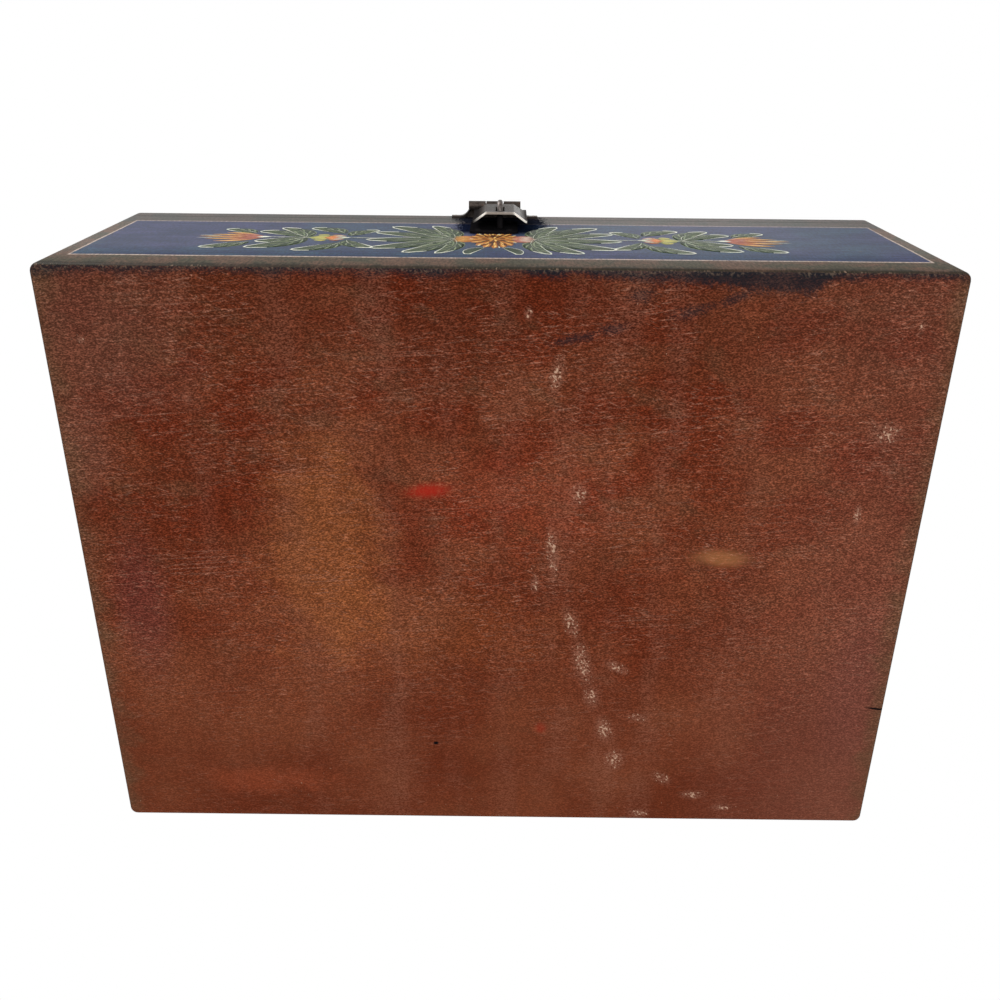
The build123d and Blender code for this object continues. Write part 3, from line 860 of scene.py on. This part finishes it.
def comma(base, tip, width, bend):
    """A small dark leaf with a cream line looped right round it."""
    blade = blunt(base, tip, width, bend)
    there, back = (edge_points(blade[1], blade[2], side) for side in (1, -1))
    return [blade, liner(there + back[::-1] + there[:1], 0.5, 0.8 * OUTLINE)]


def fan_leaf():
    """The large leaf beside the rosette: lobes that spread from one foot."""
    return [stroke for tip, width, bend in FAN_LOBES for stroke in leaf(FAN_FOOT, tip, width, bend)]


def stem(start, end, bend):
    """A dark stem with a cream light along it."""
    return [brushed("leaf_green", start, end, 1.5, bend), brushed("cream", start, end, 0.6, bend)]


def round_bud():
    """A bud in a cup: yellow outside, pink with cream lights towards the stem."""
    strokes = []
    for v in (-5.5, -2.8, 0, 2.8, 5.5):
        reach = 7.0 - abs(v) * 0.5
        strokes.append(brushed("yellow", (60.5, v * 0.7), (61 + reach, v), 4.4))
        strokes.append(brushed("orange", (55.5, v * 0.55), (55.5 + reach, v * 0.9), 3.4))
    for v in (-4.6, -1.6, 1.6, 4.6):
        strokes.append(brushed("pink", (54.5, v * 0.6), (59, v), 2.4))
        strokes.append(brushed("cream", (54.5, v * 0.5), (58.5, v * 0.95), 0.9, count=SHORT_POINTS))
    for side in (-1, 1):
        cup = bow((53.5, 0), (68.5, 0), 0.27 * side)
        strokes.append(("light_green", cup, [0.5] * STROKE_POINTS))
    strokes.append(brushed("cream", (52.5, 0), (56, 0), 1.8, count=SHORT_POINTS))
    return strokes


def tulip():
    """The flower at the spray's end: slender petals, pink at the foot and lit with gold at their tips."""
    strokes = []
    for (u, v), width, bend in TULIP_PETALS:
        strokes.append(brushed("apricot", (85, v * 0.2), (u, v), width, bend, 0.55))
        strokes.append(brushed("gold", (u - 11, v * 0.72), (u - 0.5, v), 1.0, bend, count=SHORT_POINTS))
    for v in (-5.4, -1.8, 1.8, 5.4):
        strokes.append(brushed("pink", (85, v * 0.35), (96, v), 1.9, 0.015 * v))
        strokes.append(brushed("rust", (86, v * 0.3), (97, v * 0.9), 0.8, 0.015 * v))
    for v in (-3.6, 0, 3.6):
        strokes.append(brushed("pink", (84, v * 0.3), (93, v), 1.6, 0.015 * v))
    for v in (-1.8, 1.6):
        strokes.append(brushed("cream", (100, v), (108.5, v * 1.6), 0.7, count=SHORT_POINTS))
    strokes.append(brushed("cream", (81.5, 0), (87, 0), 3.0))
    return strokes


def ring(colour, count, reach, width, start, turned):
    """Petals round the rosette's middle, from a share of their reach outwards."""
    strokes = []
    for petal in range(count):
        angle = 2 * math.pi * (petal + turned) / count
        end = (reach[0] * math.cos(angle), min(reach[1] * math.sin(angle), ROSETTE_TOP))
        strokes.append(brushed(colour, (end[0] * start, end[1] * start), end, width, 0.05, 0.6))
    return strokes


def rosette():
    """The flower in the middle: rings of ochre petals with brown shadows, gold lights and cream tips."""
    return [stroke for row in ROSETTE_RINGS for stroke in ring(*row)]


def side_petals(first, second):
    """The bud-like petals fanned between the rosette and the fan leaf, and the lights on them."""
    ups = (-6, -3, 0, 3, 6)
    petals = [brushed(first, (6.5, v * 0.3), (15.5 - abs(v) * 0.2, v * 0.8), 3.8, 0.02 * v) for v in ups]
    return petals + [brushed(second, (9, v * 0.45), (14.6, v * 0.75), 0.7) for v in ups]


def half_spray():
    """The right side beyond the rosette and its side petals: leaves, stem, bud and tulip."""
    strokes = fan_leaf() + comma(*SMALL_LEAF)
    for stretch in STEMS:
        strokes += stem(*stretch)
    for stem_leaf in STEM_LEAVES:
        strokes += leaf(*stem_leaf)
    return strokes + round_bud() + tulip()


def mirrored(strokes):
    """The same strokes on the left."""
    return [(colour, [(-u, v) for u, v in points], halves) for colour, points, halves in strokes]


def whole_spray():
    """Both halves and the rosette between them. The two halves differ a little in their barbs."""
    strokes = half_spray() + mirrored(half_spray())
    return strokes + side_petals("pink", "cream") + mirrored(side_petals("ochre", "gold")) + rosette()


def stroke_tree():
    """Geometry nodes that sweep a low, crowned bead of paint along each stroke of a curve."""
    tree = bpy.data.node_groups.new("paint_bead", "GeometryNodeTree")
    inputs = {"Geometry": "Geometry", "Crown": "Float", "Sides": "Int", "Material": "Material"}
    for name, kind in inputs.items():
        tree.interface.new_socket(name, in_out="INPUT", socket_type="NodeSocket" + kind)
    tree.interface.new_socket("Geometry", in_out="OUTPUT", socket_type="NodeSocketGeometry")
    group = tree.nodes.new("NodeGroupInput")
    strokes, crown, sides, material = (Wire(tree, socket) for socket in group.outputs[:4])
    circle = strokes.add("GeometryNodeCurvePrimitiveCircle", None, {"Resolution": sides, "Radius": 1.0})
    flat = strokes.add("ShaderNodeCombineXYZ", None, {0: 1.0, 1: crown, 2: 1.0})
    section = circle.add("GeometryNodeTransform", None, {"Geometry": circle, "Scale": flat})
    upright = strokes.add("GeometryNodeSetCurveNormal", {"mode": "Z_UP"}, {"Curve": strokes})
    radius = strokes.add("GeometryNodeInputRadius")
    sweep = {"Curve": upright, "Profile Curve": section, "Scale": radius, "Fill Caps": True}
    bead = upright.add("GeometryNodeCurveToMesh", None, sweep)
    whole = bead.add("GeometryNodeRealizeInstances", None, {"Geometry": bead})
    painted = whole.add("GeometryNodeSetMaterial", None, {"Geometry": whole, "Material": material})
    output = tree.nodes.new("NodeGroupOutput")
    tree.links.new(painted.socket, output.inputs[0])
    return tree


def set_inputs(modifier, **values):
    """Sets a modifier's inputs by their sockets' identifiers."""
    for item in modifier.node_group.interface.items_tree:
        if item.in_out == "INPUT" and item.name in values:
            modifier[item.identifier] = values[item.name]


def stroke_curve(name, strokes, lift):
    """Strokes as one curve at a height in millimetres, each point's radius its stroke's half width there."""
    curve = bpy.data.curves.new(name, "CURVE")
    curve.dimensions = "3D"
    for _, points, halves in strokes:
        spline = curve.splines.new("POLY")
        spline.points.add(len(points) - 1)
        for point, (u, v), half in zip(spline.points, points, halves):
            point.co = (u * MM, v * MM, lift * MM, 1)
            point.radius = half * MM
    return curve


PAINT_BEAD = stroke_tree()
PAINT_FINISHES = {name: thick_paint("paint_" + name, *tones) for name, (*tones, _) in PAINTS.items()}


def paint_piece(name, colour, strokes, place, body):
    """Strokes of one colour as one mesh of closed beads on a face, a little proud of it."""
    crown = THIN_CROWN if colour in THIN_COLOURS else BROAD_CROWN
    holder = bpy.data.objects.new(name + "_strokes", stroke_curve(name, strokes, PAINTS[colour][-1]))
    bpy.context.scene.collection.objects.link(holder)
    modifier = holder.modifiers.new("paint_bead", "NODES")
    modifier.node_group = PAINT_BEAD
    set_inputs(modifier, Crown=crown, Sides=BEAD_SIDES, Material=PAINT_FINISHES[colour])
    bpy.context.view_layer.update()
    evaluated = holder.evaluated_get(bpy.context.evaluated_depsgraph_get())
    mesh = bpy.data.meshes.new_from_object(evaluated)
    mesh.transform(place)
    mesh.name = name
    bpy.data.objects.remove(holder)
    piece = bpy.data.objects.new(name, mesh)
    bpy.context.scene.collection.objects.link(piece)
    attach(piece, body)


def paint_design(name, strokes, place, body):
    """A whole design, one piece for each colour."""
    for colour in PAINTS:
        chosen = [stroke for stroke in strokes if stroke[0] == colour]
        if chosen:
            paint_piece(f"{name}_{colour}", colour, chosen, place, body)


def placed(right, up, out, origin):
    """A place in metres, with its three axes."""
    return Matrix.Translation(origin) @ Matrix((right, up, out)).transposed().to_4x4()


def face_frame(right, up, out, origin, share=1.0):
    """The place of a design whose middle is given in millimetres, drawn at a share of its size."""
    return placed(right, up, out, Vector(origin) * MM) @ Matrix.Scale(share, 4)


def decorate():
    """The spray on the front, a smaller one on each end, and a cross of sprays on the lid."""
    spray = whole_spray()
    middle_u, middle_v = SPRAY_MIDDLE
    front_face = face_frame((1, 0, 0), (0, 0, 1), (0, -1, 0), (middle_u, LOW[1], middle_v))
    paint_design("front_spray", spray, front_face, "base")
    for name, side in (("left", -1), ("right", 1)):
        middle = (side * HIGH[0], 0, middle_v)
        end_face = face_frame((0, side, 0), (0, 0, 1), (side, 0, 0), middle, END_SPRAY_SHARE)
        paint_design(f"{name}_end_spray", spray, end_face, "base")
    lid_face = face_frame((1, 0, 0), (0, 1, 0), (0, 0, 1), (0, 0, HIGH[2]), LID_SPRAY_SHARE)
    paint_design("lid_spray", spray, lid_face, "lid")
    for name, way in (("back", 1), ("near", -1)):
        foot = (0, way * LID_BRANCH_FOOT, HIGH[2])
        branch_face = face_frame((0, way, 0), (-way, 0, 0), (0, 0, 1), foot, LID_BRANCH_SHARE)
        paint_design(f"lid_{name}_branch", half_spray(), branch_face, "lid")


# Camera
def add_camera():
    """A camera that looks along CAMERA_FORWARD, with CAMERA_RIGHT to the right."""
    camera = bpy.data.objects.new("camera", bpy.data.cameras.new("camera"))
    bpy.context.scene.collection.objects.link(camera)
    backward = -CAMERA_FORWARD.normalized()
    up = backward.cross(CAMERA_RIGHT).normalized()
    right = up.cross(backward)
    camera.matrix_world = placed(right, up, backward, CAMERA_PLACE)
    camera.data.sensor_width = SENSOR
    camera.data.lens = CAMERA_LENS
    camera.data.clip_start = NEAREST_SEEN
    bpy.context.scene.camera = camera


# Light and floor
def add_world():
    """An even soft light, seen as plain white."""
    world = bpy.data.worlds.new("studio")
    world.use_nodes = True
    world.node_tree.nodes.clear()
    start = Wire(world.node_tree)
    seen = start.add("ShaderNodeLightPath", output="Is Camera Ray")
    for kind in ("Is Glossy Ray", "Is Transmission Ray"):
        seen = seen.most(start.add("ShaderNodeLightPath", output=kind))
    strength = seen * (1 - WORLD_LEVEL) + WORLD_LEVEL
    shader = start.add("ShaderNodeBackground", None, {"Color": WHITE, "Strength": strength})
    start.add("ShaderNodeOutputWorld", None, {"Surface": shader})
    bpy.context.scene.world = world


def add_lamps():
    """Round area lamps, each turned towards its aim."""
    for name, place, aim, size, watts in LAMPS:
        lamp = bpy.data.objects.new(name, bpy.data.lights.new(name, "AREA"))
        lamp.data.shape = "DISK"
        lamp.data.size = size
        lamp.data.energy = watts
        lamp.location = place
        lamp.rotation_euler = (Vector(aim) - Vector(place)).to_track_quat("-Z", "Y").to_euler()
        bpy.context.scene.collection.objects.link(lamp)


def add_floor():
    """A pale floor that fades to white, shows only from above, and takes no light from the underside."""
    material = bpy.data.materials.new("floor")
    material.use_nodes = True
    material.node_tree.nodes.clear()
    start = Wire(material.node_tree)
    pale = start.add("ShaderNodeBsdfDiffuse", None, {"Color": FLOOR_PALE})
    clear = start.add("ShaderNodeBsdfTransparent")
    white = start.add("ShaderNodeEmission", None, {"Color": WHITE, "Strength": 1.0})
    place = start.add("ShaderNodeTexCoord", output="Object")
    far = place.add("ShaderNodeVectorMath", {"operation": "LENGTH"}, {0: place}, 1).rise(*FLOOR_FADE)
    above = start.add("ShaderNodeMixShader", None, {0: far, 1: pale, 2: white})
    from_below = start.add("ShaderNodeNewGeometry", output="Backfacing")
    surface = start.add("ShaderNodeMixShader", None, {0: from_below, 1: above, 2: clear})
    start.add("ShaderNodeOutputMaterial", None, {"Surface": surface})
    mesh = bpy.data.meshes.new("floor")
    ways = ((-1, -1), (1, -1), (1, 1), (-1, 1))
    corners = [(x * FLOOR_HALF, y * FLOOR_HALF, -FLOOR_DROP) for x, y in ways]
    mesh.from_pydata(corners, [], [(0, 1, 2, 3)])
    mesh.materials.append(material)
    floor = bpy.data.objects.new("floor", mesh)
    floor.visible_shadow = False
    floor.visible_diffuse = False
    floor.visible_glossy = False
    floor.visible_transmission = False
    bpy.context.scene.collection.objects.link(floor)


dress_boards()
dress_fittings()
decorate()
add_camera()
add_world()
add_lamps()
add_floor()

bpy.context.scene.view_settings.view_transform = "Standard"
